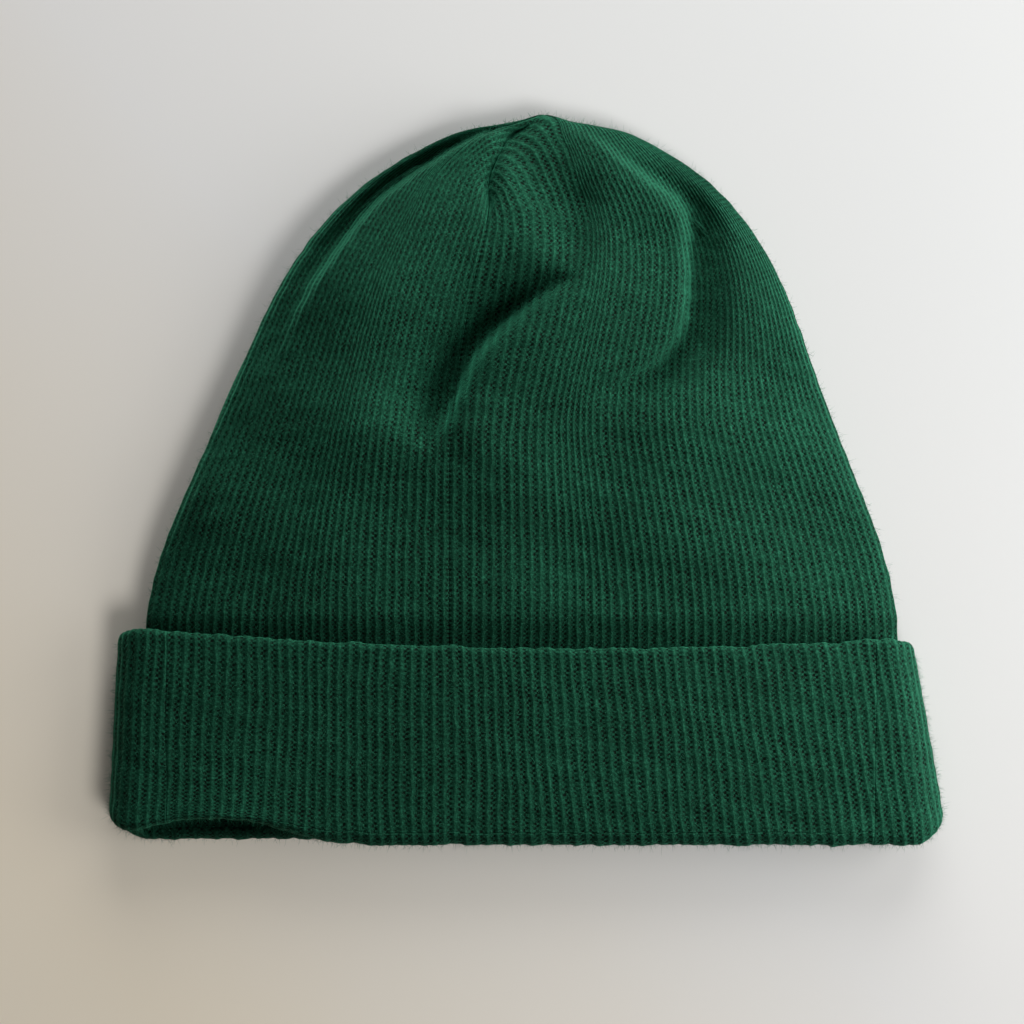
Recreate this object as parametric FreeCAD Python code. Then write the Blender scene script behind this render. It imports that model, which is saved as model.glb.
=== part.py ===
"""Cuffed double-layer knit beanie, lying flat on its back. Units are millimetres.

+X runs across the hat, +Y from the folded brim to the crown and +Z up from the table.
The origin is on the table, below the middle of the hat's footprint.

The real hat is one long knit tube. Both ends are closed with four sewn darts, one end is
pushed into the other, and the open double edge is turned up as a cuff. Here the tube is
divided only where the cuff folds, so that each layer is a solid of its own:

    outer_shell, lining              the two layers of the body and crown
    *_cuff_face, *_cuff_backing      the two layers of the turned-up cuff, front and rear
    *_cuff_side_*                    the same two layers where they bend round the sides
    *_edge_fold_*                    the same two layers where they turn at the lower edge
    shell_seam_*, lining_seam_*      overlocked dart seams, hidden between the layers
    crown_tack                       stitch that holds the lining's tip to the shell's tip
"""

import FreeCAD
import Part

import math
import os

# Driving dimensions
WIDTH = 232.0  # across the cuff
LENGTH = 204.4  # from the cuff's lower fold to the crown
CUFF_HEIGHT = 57.0  # from the lower fold to the mouth edge
LAYER = 1.8  # thickness of one knit layer
GAP = 0.2  # air between two layers
POCKET = 5.0  # clear height of the head pocket under the cuff
PANEL_HALF_WIDTH = 99.3  # where the flat cuff panels meet the side bends

BODY_HALF_WIDTH = 108.0  # of the shell at the lower fold
BODY_HEIGHT = 28.0  # of the shell's highest part above the table
BODY_RISE = 65.0  # length over which the front climbs to that height, from the mouth edge
REAR_LIFT = 0.3  # of the shell's rear above the table, past the cuff
REAR_DROP = 50.0  # length over which the rear comes down to it
CROWN_SHIFT = 6.5  # how far the tip lies off the middle line
TIP_HEIGHT = 21.0  # of the shell's thickness at the tip
TIP_TAPER = 70.0  # length over which the crown thins to that thickness
TIP_CUT = 0.8  # how far the shell's flat end lies short of the full length
LINING_SHORTFALL = 14.3  # how far the lining's end lies short of the full length
CUFF_SQUARENESS = 14.0  # exponent of the body's rounded-box cross-section under the cuff
CROWN_SQUARENESS = 3.5  # and at the crown
CUFF_STATIONS = 6  # steps between the body's cross-sections under the cuff
CROWN_STATIONS = 18  # and above it
LONGEST_LEAN = 2.0  # limit on how far a wall widens where the outline turns across the hat

SEAM_ROOM = 3.6  # extra room between the crown's two layers for the dart seams
DART_LENGTH = 28.0  # of each dart seam, measured along Y
FRONT_DART_SHIFT = -12.0  # how far the front darts lie off the line below the tip
SHELL_DART_END = 12.0  # how far the shell's darts stop short of its end
LINING_DART_END = 4.0  # and the lining's darts of the lining's end
SEAM_RADIUS = 1.3  # of the overlocked seam over a stitch
SEAM_WAIST = 1.0  # and between two stitches
STITCH_PITCH = 4.0
TACK_RADIUS = 1.2

# Derived places
STACK_PITCH = LAYER + GAP
BOTTOM_Y = -LENGTH / 2
TIP_Y = LENGTH / 2
LINING_R = POCKET / 2  # distances from the middle plane to each layer's inner side
SHELL_R = LINING_R + STACK_PITCH
HINGE_R = SHELL_R + LAYER + GAP / 2
BACKING_R = SHELL_R + STACK_PITCH
FACE_R = BACKING_R + STACK_PITCH
MID_Z = FACE_R + LAYER
FOLD_R = MID_Z - HINGE_R  # outer radius of the lower fold
FOLD_Y = BOTTOM_Y + FOLD_R
CUFF_TOP_Y = BOTTOM_Y + CUFF_HEIGHT
MOUTH_R = (MID_Z - BACKING_R) / 2  # radius of the mouth edge
MOUTH_Y = CUFF_TOP_Y - MOUTH_R
BEND_X = WIDTH / 2 - MID_Z
SHELL_END_Y = TIP_Y - TIP_CUT
LINING_END_Y = TIP_Y - LINING_SHORTFALL
X_AXIS = FreeCAD.Vector(1, 0, 0)
Y_AXIS = FreeCAD.Vector(0, 1, 0)
Z_AXIS = FreeCAD.Vector(0, 0, 1)


def smooth(value, low, high):
    """0 below low, 1 above high and an S curve between."""
    t = min(1.0, max(0.0, (value - low) / (high - low)))
    return t * t * (3 - 2 * t)


# The body and crown ------------------------------------------------------------------

def centre_x(y):
    return CROWN_SHIFT * ((y - BOTTOM_Y) / LENGTH) ** 3


def half_width(y):
    """The body's outline from above is half an ellipse."""
    share = (y - BOTTOM_Y) / LENGTH
    return BODY_HALF_WIDTH * math.sqrt(1 - share * share)


def lean(y):
    """How much a wall of even thickness widens along X where the outline slopes."""
    share = (y - BOTTOM_Y) / LENGTH
    slope = BODY_HALF_WIDTH / LENGTH * share / math.sqrt(1 - share * share)
    return min(LONGEST_LEAN, math.sqrt(1 + slope * slope))


def body_span(y):
    """Lowest and highest z of the outer shell."""
    low = MID_Z - SHELL_R - LAYER
    low += (REAR_LIFT - low) * smooth(y, CUFF_TOP_Y, CUFF_TOP_Y + REAR_DROP)
    high = MID_Z + SHELL_R + LAYER
    high += (BODY_HEIGHT - high) * smooth(y, CUFF_TOP_Y, CUFF_TOP_Y + BODY_RISE)
    high += (TIP_HEIGHT - BODY_HEIGHT) * smooth(y, TIP_Y - TIP_TAPER, TIP_Y)
    return low, high


def lining_inset(y):
    """Depth of the lining's outer side below the shell's, which grows towards the crown."""
    return STACK_PITCH + SEAM_ROOM * smooth(y, CUFF_TOP_Y, CUFF_TOP_Y + BODY_RISE)


def section(y, inset):
    """A closed wire: the shell's outer cross-section at y, moved inwards by inset."""
    low, high = body_span(y)
    half_height = (high - low) / 2 - inset
    width = half_width(y) - inset * lean(y)
    squareness = CUFF_SQUARENESS
    squareness += (CROWN_SQUARENESS - CUFF_SQUARENESS) * smooth(y, CUFF_TOP_Y, TIP_Y)
    points_per_side = 18
    points = []
    for side in (1, -1):
        for k in range(points_per_side):
            across = side * math.cos(math.pi * k / points_per_side)
            up = side * math.sqrt(1 - abs(across) ** squareness)
            x = centre_x(y) + width * across
            points.append(FreeCAD.Vector(x, y, (low + high) / 2 + half_height * up))
    curve = Part.BSplineCurve()
    curve.interpolate(Points=points, PeriodicFlag=True)
    return Part.Wire([curve.toShape()])


def dome(last_y, inset):
    """A solid through cross-sections: straight from one to the next under the cuff, where the
    layers lie close together, and smooth above it."""
    first_y = FOLD_Y + GAP
    rise = last_y - CUFF_TOP_Y
    under = [first_y + (CUFF_TOP_Y - first_y) * k / CUFF_STATIONS for k in range(CUFF_STATIONS + 1)]
    turns = [math.pi / 2 * k / CROWN_STATIONS for k in range(CROWN_STATIONS + 1)]
    above = [CUFF_TOP_Y + rise * math.sin(turn) for turn in turns]
    lower = Part.makeLoft([section(y, inset(y)) for y in under], True, True)
    upper = Part.makeLoft([section(y, inset(y)) for y in above], True, False)
    return lower.fuse(upper)


def knit_dome(last_y, inset):
    """One knit layer: a dome hollowed by a smaller one, open at the lower fold."""
    hollow = dome(last_y - LAYER, lambda y: inset(y) + LAYER)
    return dome(last_y, inset).cut(hollow).Solids[0]


def outer_shell():
    return knit_dome(SHELL_END_Y, lambda y: 0.0)


def lining():
    return knit_dome(LINING_END_Y, lining_inset)


# The dart seams ----------------------------------------------------------------------

def seam_point(place, y, aside):
    """A point midway between shell and lining, at the front, rear, left or right."""
    low, high = body_span(y)
    x, z = centre_x(y), (low + high) / 2
    depth = (LAYER + lining_inset(y)) / 2
    if place == "front":
        return FreeCAD.Vector(x + FRONT_DART_SHIFT + aside, y, high - depth)
    if place == "rear":
        return FreeCAD.Vector(x + aside, y, low + depth)
    reach = half_width(y) - depth * lean(y)
    return FreeCAD.Vector(x + reach if place == "right" else x - reach, y, z + aside)


def cord_rim(at, direction, radius):
    """A round closed wire square to the direction, always started on the same side."""
    across = direction.cross(Z_AXIS).normalize()
    up = across.cross(direction).normalize()
    turns = [2 * math.pi * k / 8 for k in range(8)]
    points = [at + across * (radius * math.cos(a)) + up * (radius * math.sin(a)) for a in turns]
    curve = Part.BSplineCurve()
    curve.interpolate(Points=points, PeriodicFlag=True)
    return Part.Wire([curve.toShape()])


def dart_seam(place, last_y, aside):
    """An overlocked seam: a cord that swells at each stitch."""
    bends = 6
    ys = [last_y - DART_LENGTH * (1 - k / bends) for k in range(bends + 1)]
    spine = Part.BSplineCurve()
    spine.interpolate([seam_point(place, y, aside) for y in ys])
    edge = spine.toShape()
    rims = []
    for k, point in enumerate(edge.discretize(2 * int(edge.Length / STITCH_PITCH) + 1)):
        radius = SEAM_RADIUS if k % 2 else SEAM_WAIST
        rims.append(cord_rim(point, edge.tangentAt(spine.parameter(point)), radius))
    return Part.makeLoft(rims, True, True)


def crown_tack():
    """A bar of thread between the lining's tip and the inside of the shell's tip."""
    start = LINING_END_Y + GAP
    length = SHELL_END_Y - LAYER - GAP - start
    low, high = body_span(start)
    place = FreeCAD.Vector(centre_x(start), start, (low + high) / 2)
    return Part.makeCylinder(TACK_RADIUS, length, place, Y_AXIS)


# The cuff ----------------------------------------------------------------------------

def slab(inner_r, y0, y1):
    """A flat front layer between the two side bends."""
    corner = FreeCAD.Vector(-PANEL_HALF_WIDTH + GAP / 2, y0, MID_Z + inner_r)
    return Part.makeBox(2 * PANEL_HALF_WIDTH - GAP, y1 - y0, LAYER, corner)


def half_ring(inner_r, outer_r, at, towards):
    """A half ring, or a half disc, in the YZ plane at the point, bulging along Y."""
    def arc(r):
        return Part.Arc(at + Z_AXIS * r, at + Y_AXIS * (r * towards), at - Z_AXIS * r).toShape()

    def line(start_z, end_z):
        return Part.makeLine(at + Z_AXIS * start_z, at + Z_AXIS * end_z)

    if inner_r == 0:
        rim = [arc(outer_r), line(-outer_r, outer_r)]
    else:
        rim = [arc(outer_r), line(-outer_r, -inner_r), arc(inner_r), line(inner_r, outer_r)]
    return Part.Face(Part.Wire(Part.__sortEdges__(rim)))


def along_panel(face):
    """The face, drawn at x 0, carried along the flat panel."""
    drawn = face.copy()
    drawn.translate(FreeCAD.Vector(-PANEL_HALF_WIDTH + GAP / 2, 0, 0))
    return drawn.extrude(FreeCAD.Vector(2 * PANEL_HALF_WIDTH - GAP, 0, 0))


def along_bend(face):
    """The face, drawn at x 0, carried round the right side from the front to the rear."""
    flat = face.copy()
    flat.translate(FreeCAD.Vector(PANEL_HALF_WIDTH + GAP / 2, 0, 0))
    front = flat.extrude(FreeCAD.Vector(BEND_X - PANEL_HALF_WIDTH - GAP / 2, 0, 0))
    turned = face.copy()
    turned.translate(FreeCAD.Vector(BEND_X, 0, 0))
    corner = turned.revolve(FreeCAD.Vector(BEND_X, 0, MID_Z), Y_AXIS, 180)
    return front.fuse([corner, to_rear(front)]).removeSplitter()


def to_rear(shape):
    return shape.mirror(Z_AXIS * MID_Z, Z_AXIS)


def to_left(shape):
    return shape.mirror(FreeCAD.Vector(), X_AXIS)


def layer_face(inner_r, y0, y1):
    """The cross-section of a straight layer, as a face in the YZ plane at x 0."""
    corners = [(y0, 0), (y1, 0), (y1, LAYER), (y0, LAYER), (y0, 0)]
    points = [FreeCAD.Vector(0, y, MID_Z + inner_r + z) for y, z in corners]
    return Part.Face(Part.makePolygon(points))


def fold_face(inner_r):
    """The cross-section of a layer that turns at the lower edge."""
    inner_turn = inner_r - HINGE_R
    hinge = FreeCAD.Vector(0, FOLD_Y, MID_Z + HINGE_R)
    return half_ring(inner_turn, inner_turn + LAYER, hinge, -1)


def mouth_face():
    """The cross-section of the mouth edge, where the face turns into the backing."""
    return half_ring(0, MOUTH_R, FreeCAD.Vector(0, MOUTH_Y, MID_Z + BACKING_R + MOUTH_R), 1)


def front_pieces():
    """The front half of the cuff, between the side bends, by node name."""
    panel_y = FOLD_Y + GAP
    face = slab(FACE_R, panel_y, MOUTH_Y).fuse(along_panel(mouth_face()))
    return {
        "cuff_face": face.removeSplitter(),
        "cuff_backing": slab(BACKING_R, panel_y, MOUTH_Y - GAP),
        "edge_fold_face": along_panel(fold_face(FACE_R)),
        "edge_fold_backing": along_panel(fold_face(BACKING_R)),
    }


def right_pieces():
    """The bend of the cuff round the right side, with its lower fold, by node name."""
    face = along_bend(layer_face(FACE_R, FOLD_Y, MOUTH_Y))
    face = face.fuse([along_bend(fold_face(FACE_R)), along_bend(mouth_face())])
    backing = along_bend(layer_face(BACKING_R, FOLD_Y, MOUTH_Y - GAP))
    backing = backing.fuse(along_bend(fold_face(BACKING_R)))
    return {
        "cuff_side_face": face.removeSplitter(),
        "cuff_side_backing": backing.removeSplitter(),
    }


# The hat -----------------------------------------------------------------------------

def hat():
    nodes = {"outer_shell": outer_shell(), "lining": lining(), "crown_tack": crown_tack()}
    aside = SEAM_RADIUS + GAP / 2
    for place in ("front", "rear", "left", "right"):
        nodes["shell_seam_" + place] = dart_seam(place, SHELL_END_Y - SHELL_DART_END, aside)
        nodes["lining_seam_" + place] = dart_seam(place, LINING_END_Y - LINING_DART_END, -aside)
    for name, shape in front_pieces().items():
        nodes["front_" + name] = shape
        nodes["rear_" + name] = to_rear(shape)
    for name, shape in right_pieces().items():
        nodes["right_" + name] = shape
        nodes["left_" + name] = to_left(shape)
    return nodes


os.makedirs("parts", exist_ok=True)
for node, shape in hat().items():
    shape.exportStep(f"parts/{node}.step")
    box = shape.optimalBoundingBox()
    print(
        f"{node:24s} {len(shape.Solids)} solid, valid {shape.isValid()},"
        f" {box.XMin:.1f} {box.XMax:.1f}  {box.YMin:.1f} {box.YMax:.1f}"
        f"  {box.ZMin:.1f} {box.ZMax:.1f}, {shape.Volume / 1000:.1f} cm3"
    )
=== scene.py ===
"""Looks of the cuffed rib-knit beanie that lies flat: the knit itself, the folds of the crown,
the fuzz, and the floor, light and camera around them.

Lengths are millimetres in the CAD's frame, until make_mesh() turns them into metres. Lamps and
camera are placed in metres. Every knit surface is a grid, whose columns follow the ribs (save
near the ends of the cuff's panels, see straight_ends) and whose rows follow the courses. The
rib relief is in the mesh, and the yarn's finer detail is in the material, which reads two
numbers from each vertex: "rib" counts ribs across and "course" counts courses along. A rib's
crest is at a half number and the groove between two ribs at a whole one.
"""

import math

import bpy
import numpy as np
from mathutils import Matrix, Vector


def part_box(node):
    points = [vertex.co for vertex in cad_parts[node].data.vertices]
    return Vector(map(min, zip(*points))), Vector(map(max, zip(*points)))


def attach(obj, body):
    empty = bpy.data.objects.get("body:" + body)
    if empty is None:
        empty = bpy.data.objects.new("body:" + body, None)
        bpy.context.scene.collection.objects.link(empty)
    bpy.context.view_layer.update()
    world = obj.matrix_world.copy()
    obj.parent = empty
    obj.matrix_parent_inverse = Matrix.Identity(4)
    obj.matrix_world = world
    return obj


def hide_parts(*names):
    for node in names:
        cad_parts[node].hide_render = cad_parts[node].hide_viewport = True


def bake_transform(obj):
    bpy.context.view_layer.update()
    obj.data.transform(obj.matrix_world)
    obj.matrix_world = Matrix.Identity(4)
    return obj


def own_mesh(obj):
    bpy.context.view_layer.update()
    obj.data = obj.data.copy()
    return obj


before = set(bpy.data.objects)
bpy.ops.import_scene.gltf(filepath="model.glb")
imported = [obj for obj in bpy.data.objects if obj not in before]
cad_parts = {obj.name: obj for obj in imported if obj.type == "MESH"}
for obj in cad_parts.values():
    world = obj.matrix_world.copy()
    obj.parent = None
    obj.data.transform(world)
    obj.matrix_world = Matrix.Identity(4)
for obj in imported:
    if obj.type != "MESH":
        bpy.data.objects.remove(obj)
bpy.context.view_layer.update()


# --- Sizes, from the CAD ---

MM_PER_M = 1000


def box_mm(node):
    """The low and high corners of a CAD node's box."""
    low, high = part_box(node)
    return np.array(low) * MM_PER_M, np.array(high) * MM_PER_M


fold_low, fold_high = box_mm("front_edge_fold_face")
backing_low, _ = box_mm("front_cuff_backing")
_, panel_high = box_mm("front_cuff_face")
side_low, side_high = box_mm("right_cuff_side_face")
shell_low, shell_high = box_mm("outer_shell")
_, lining_high = box_mm("lining")

GAP = side_low[0] - panel_high[0]
PANEL_X = (side_low[0] + panel_high[0]) / 2  # the flat cuff panels end here
OUTER_R = side_high[2] / 2  # outside of the cuff, from the middle plane
MID_Z = OUTER_R
BEND_X = side_high[0] - OUTER_R  # the cuff's sides bend round this line
BOTTOM_Y = fold_low[1]
TIP_Y = -BOTTOM_Y
LENGTH = TIP_Y - BOTTOM_Y
FOLD_R = (fold_high[2] - fold_low[2]) / 2
HINGE_R = OUTER_R - FOLD_R
FOLD_Y = BOTTOM_Y + FOLD_R
CUFF_TOP_Y = panel_high[1]
CUFF_MIDDLE_Y = (FOLD_Y + CUFF_TOP_Y) / 2
BACKING_R = backing_low[2] - MID_Z
MOUTH_R = (OUTER_R - BACKING_R) / 2
MOUTH_Y = CUFF_TOP_Y - MOUTH_R
POCKET_R = fold_low[2] - MID_Z
SHELL_R = BACKING_R - GAP
BODY_HALF_WIDTH = shell_high[0]
BODY_TOP = shell_high[2]
BODY_LOW = shell_low[2]

# The knit
RIBS_PER_QUARTER = 42  # of the cuff, from the middle of the front to the middle of a side
PANEL_RIBS = 34  # of those, on the flat panel
SIDE_RIBS = RIBS_PER_QUARTER - PANEL_RIBS
SIDE_LENGTH = BEND_X - PANEL_X + OUTER_R * math.pi / 2
COURSE = 1.43  # length of one
LAYER = 1.8  # thickness
COLUMNS_PER_RIB = 6
REAR_COLUMNS_PER_RIB = 4


# --- Small helpers ---

def smooth(value, low, high):
    """0 below low, 1 above high and an S curve between."""
    t = np.clip((np.asarray(value, float) - low) / (high - low), 0, 1)
    return t * t * (3 - 2 * t)


def bell(value, width):
    return np.exp(-((np.asarray(value) / width) ** 2))


WAVE_COUNT = 7
WAVE_SPREAD = (0.7, 1.5)  # their lengths, as shares of the wavelength asked for


def waves(x, y, wavelength, seed):
    """Gentle unevenness of about plus or minus 1: a sum of sine waves in random directions."""
    random = np.random.default_rng(seed)
    total = np.zeros(np.broadcast(x, y).shape)
    for _ in range(WAVE_COUNT):
        angle, phase = random.uniform(0, 2 * math.pi, 2)
        length = wavelength * random.uniform(*WAVE_SPREAD)
        along = x * math.cos(angle) + y * math.sin(angle)
        total += np.sin(2 * math.pi * along / length + phase)
    return total / math.sqrt(WAVE_COUNT)


def unit(vectors):
    return vectors / np.maximum(np.linalg.norm(vectors, axis=-1, keepdims=True), 1e-9)


def spline(knots, values, at):
    """A smooth curve through the values, whose slope at each knot follows its neighbours."""
    slopes = np.gradient(values, knots)
    k = np.clip(np.searchsorted(knots, at, side="right") - 1, 0, len(knots) - 2)
    step = knots[k + 1] - knots[k]
    t = np.clip((at - knots[k]) / step, 0, 1)
    a, b = values[k], values[k + 1]
    return (
        (2 * t ** 3 - 3 * t ** 2 + 1) * a + (t ** 3 - 2 * t ** 2 + t) * step * slopes[k]
        + (3 * t ** 2 - 2 * t ** 3) * b + (t ** 3 - t ** 2) * step * slopes[k + 1]
    )


RIB_CREST, LEG_SLANT = 0.8, 0.9  # how narrow the crests are, and how slanted their legs
RIB_RUNGS, RIB_LEGS = 0.42, 0.16  # heights, as shares of the relief's depth
RUNG_SHIFT = 0.5  # courses by which each groove's ladder is on from the last
UNEVENNESS, UNEVEN_LENGTH = 0.09, 5  # height, and length in ribs and courses


def knit_relief(rib, course, depth):
    """How far the surface lies below the ribs' crests. The grooves are ladders of rungs and
    pits, and each crest is a row of slanted legs."""
    across = np.abs(rib - np.floor(rib) - 0.5)
    crest = (0.5 + 0.5 * np.cos(2 * math.pi * across)) ** RIB_CREST
    legs = np.cos(2 * math.pi * (course + LEG_SLANT * across))
    rungs = np.cos(2 * math.pi * (course + RUNG_SHIFT * np.floor(rib)))
    ladder = 1 - crest
    return depth * (-ladder + RIB_RUNGS * ladder * rungs + RIB_LEGS * crest * (legs - 1))


def uneven_relief(rib, course, depth, seed):
    return knit_relief(rib, course, depth) + UNEVENNESS * waves(rib, course, UNEVEN_LENGTH, seed)


# --- Meshes ---

def make_mesh(name, points, faces, attributes=None):
    """A mesh object from points in millimetres. faces is a list of index arrays, each with one
    row per face; attributes maps names to one number per point. Triangles and quads are
    smooth, and the larger faces that cap an edge are flat."""
    mesh = bpy.data.meshes.new(name)
    mesh.vertices.add(len(points))
    mesh.vertices.foreach_set("co", (np.asarray(points) / MM_PER_M).astype(np.float32).ravel())
    sizes = np.concatenate([np.full(len(f), f.shape[1], np.int32) for f in faces])
    corners = np.concatenate([f.ravel() for f in faces]).astype(np.int32)
    mesh.loops.add(len(corners))
    mesh.loops.foreach_set("vertex_index", corners)
    mesh.polygons.add(len(sizes))
    starts = np.concatenate([[0], np.cumsum(sizes)[:-1]]).astype(np.int32)
    mesh.polygons.foreach_set("loop_start", starts)
    mesh.polygons.foreach_set("use_smooth", sizes <= 4)
    for key, values in (attributes or {}).items():
        layer = mesh.attributes.new(key, "FLOAT", "POINT")
        layer.data.foreach_set("value", np.asarray(values, np.float32).ravel())
    mesh.update(calc_edges=True)
    mesh.validate()
    piece = bpy.data.objects.new(name, mesh)
    bpy.context.scene.collection.objects.link(piece)
    return piece


def grid_quads(columns, rows, first=0, wrap=False):
    """Faces of a grid whose point (i, j) has number first + i * rows + j. With wrap, the last
    row joins the first one."""
    i = np.arange(columns - 1)[:, None]
    j = np.arange(rows if wrap else rows - 1)[None, :]
    here, above = first + i * rows + j, first + i * rows + (j + 1) % rows
    return np.stack([here, here + rows, above + rows, above], -1).reshape(-1, 4)


def tube_faces(columns, rows):
    """Faces of a grid whose rows close into rings, with a cap at each end."""
    first = np.arange(rows)
    last = (columns - 1) * rows + first
    return [grid_quads(columns, rows, wrap=True), first[None, :], last[None, ::-1]]


def grid_normals(points):
    """Unit normals of a grid of points, on the side that grid_quads faces."""
    along_i = np.gradient(points, axis=0)
    along_j = np.gradient(points, axis=1)
    return unit(np.cross(along_i, along_j))


def border(columns, rows):
    """Index pairs round a grid's edge, once round."""
    last_i, last_j = columns - 1, rows - 1
    path = [(i, 0) for i in range(last_i)]
    path += [(last_i, j) for j in range(last_j)]
    path += [(i, last_j) for i in range(last_i, 0, -1)]
    path += [(0, j) for j in range(last_j, 0, -1)]
    return path


def two_sided_sheet(name, points, inside, rib, course, coarse):
    """A knit layer as a mesh: the grid of points outside, and inside it a coarser choice of
    the grid's inner points, joined by a rim. The rim leaves a small hole at the grid's first
    corner where the coarse step doesn't divide the rows. On the body it is hidden by the cuff."""
    columns, rows = points.shape[:2]
    step_i, step_j = coarse
    inner = inside[::step_i, ::step_j]
    inner_columns, inner_rows = inner.shape[:2]
    first = columns * rows
    faces = [grid_quads(columns, rows), grid_quads(inner_columns, inner_rows, first)[:, ::-1]]
    fine = [i * rows + j for i, j in border(columns, rows)]
    deep = [first + i * inner_rows + j for i, j in border(inner_columns, inner_rows)]
    at = 0
    lengths = [step_i] * (inner_columns - 1) + [step_j] * (inner_rows - 1)
    for corner, length in enumerate(lengths + lengths):
        outside = [fine[(at + k) % len(fine)] for k in range(length + 1)]
        across = [deep[corner], deep[(corner + 1) % len(deep)]]
        faces.append(np.array([outside[::-1] + across]))
        at += length
    attributes = {
        "rib": np.concatenate([rib.ravel(), rib[::step_i, ::step_j].ravel()]),
        "course": np.concatenate([course.ravel(), course[::step_i, ::step_j].ravel()]),
    }
    everything = np.concatenate([points.reshape(-1, 3), inner.reshape(-1, 3)])
    return make_mesh(name, everything, faces, attributes)


# --- The cuff ---

CUFF_DEPTH = 0.25  # of the ribs' relief
CUFF_DETAIL = {"front": 3, "rear": 2}  # rows per course on the outside
INSIDE_DETAIL = 2  # and on the inside
MOUTH_STEPS = 5  # rows of the rolled mouth edge, for each row per course
FOLD_ROWS = {"front": 28, "rear": 16}
FOLD_CORE_R, FOLD_CORE_ROWS = 0.2, 5  # the fold's inner side, near its centre
CUFF_WIDTH = 0.985  # its width half way up, as a share of the CAD's
LEAN_MIDDLE, LEAN_CHANGE, LEAN_REACH = 3.0, 6.0, 60.0  # how the ribs lean, in degrees
END_EASE = 14  # how many of a panel's ribs share in making its ends straight
CORNER_TOP = 2.8  # how far the mouth edge drops at the sides
CORNER_BOTTOM = 6.5  # and how far the fold rises there
EDGE_DIP, EDGE_BOW, EDGE_TILT = -1.6, 3.6, -1.4  # the mouth edge's line across the front
LIP_X, LIP_WIDTH, LIP_RISE, LIP_LIFT = -86.0, 25.0, 7.6, 2.0  # the front's fold lifts here
LIP_FLATNESS, LIP_FADE = 1.3, 4  # exponents of the lip's outline, across and upwards
LIP_LOW, LIP_HIGH = -1.0, 4.0  # it starts and is full at these heights off the middle plane
FRONT_BLEND = 3.0  # front and rear shapes blend this near to the middle plane
RIB_WANDER, RIB_WANDER_LENGTH = 0.35, 40  # how far the ribs stray sideways
ROW_WANDER, ROW_WANDER_LENGTH = 0.22, 7  # and the rows upwards
CUFF_SWELL = 4.5  # how far the middle of the mouth edge stands off the body


def loop_place(rib, radius):
    """x and z at a rib round the cuff, at a distance outside the middle plane. Rib 0 is the
    middle of the front, and ribs grow to the right, to twice RIBS_PER_QUARTER at the rear."""
    side = np.where(rib < 0, -1.0, 1.0)
    count = np.abs(rib)
    rear = count > RIBS_PER_QUARTER
    count = np.where(rear, 2 * RIBS_PER_QUARTER - count, count)
    on_side = (count - PANEL_RIBS) / SIDE_RIBS
    s = np.where(on_side < 0, PANEL_X * count / PANEL_RIBS, PANEL_X + SIDE_LENGTH * on_side)
    turn = np.clip((s - BEND_X) / OUTER_R, 0, math.pi / 2)
    x = side * (np.minimum(s, BEND_X) + radius * np.sin(turn))
    z = np.where(rear, -1.0, 1.0) * radius * np.cos(turn)
    return x, z, turn


def ribs_lean(x):
    return np.radians(LEAN_MIDDLE + LEAN_CHANGE * np.tanh(x / LEAN_REACH))


def straight_ends(rib, y):
    """Shifts the columns near the four lines where the panels and the sides part across the
    ribs, so that these lines stay upright although the ribs lean."""
    x_sign, count = np.sign(rib), np.abs(rib)
    outward = -x_sign * np.tan(ribs_lean(x_sign * PANEL_X)) * (CUFF_MIDDLE_Y - y) / CUFF_WIDTH
    pitch = np.where(outward < 0, PANEL_X / PANEL_RIBS, SIDE_LENGTH / SIDE_RIBS)
    on_side = SIDE_RIBS - np.abs(count - RIBS_PER_QUARTER)
    near = smooth(on_side, -END_EASE, 0) * (1 - smooth(on_side, 0, SIDE_RIBS))
    z_sign = np.where(count > RIBS_PER_QUARTER, -1, 1)
    return x_sign * (count + z_sign * near * outward / pitch)


def up_cuff(y):
    """0 at the cuff's lower edge and 1 at the mouth edge."""
    return np.clip((y - BOTTOM_Y) / (CUFF_TOP_Y - BOTTOM_Y), 0, 1)


def drape(x, y, z, turn):
    """The small ways in which the real cuff lies less straight than the CAD's."""
    t = up_cuff(y)
    front = smooth(z, MID_Z - FRONT_BLEND, MID_Z + FRONT_BLEND)
    edge = EDGE_DIP + EDGE_BOW * (x / BEND_X) ** 2 + EDGE_TILT * (x / BEND_X)
    corner = 1 - np.cos(turn)
    x = x * CUFF_WIDTH + np.tan(ribs_lean(x)) * (CUFF_MIDDLE_Y - y)
    y = y + edge * front * t * t + corner * (CORNER_BOTTOM * (1 - t) - CORNER_TOP * t)
    x = x + RIB_WANDER * waves(x, y, RIB_WANDER_LENGTH, seed=3) * np.cos(turn)
    y = y + ROW_WANDER * waves(x, 0 * y, ROW_WANDER_LENGTH, seed=8)
    z = z + CUFF_SWELL * front * t * np.clip(1 - (x / BEND_X) ** 2, 0, 1)
    return lift_lip(x, y, z)


def lift_lip(x, y, z):
    """The front's lower edge stands off the rear's near the left corner."""
    across = bell(np.abs(x - LIP_X) ** LIP_FLATNESS, LIP_WIDTH ** LIP_FLATNESS)
    lift = across * (1 - up_cuff(y)) ** LIP_FADE
    lift = lift * smooth(z, MID_Z + LIP_LOW, MID_Z + LIP_HIGH)
    return x, y + LIP_RISE * lift, z + LIP_LIFT * lift


def arc_rows(centre_y, centre_r, radius, start, end, rows):
    """Rows of (y, distance from the middle plane, outward y, outward distance, length)."""
    angle = np.radians(np.linspace(start, end, rows))
    length = abs(math.radians(end - start)) * radius
    return [
        (centre_y + radius * math.sin(a), centre_r + radius * math.cos(a),
         math.sin(a), math.cos(a), length * k / (rows - 1))
        for k, a in enumerate(angle)
    ]


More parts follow.
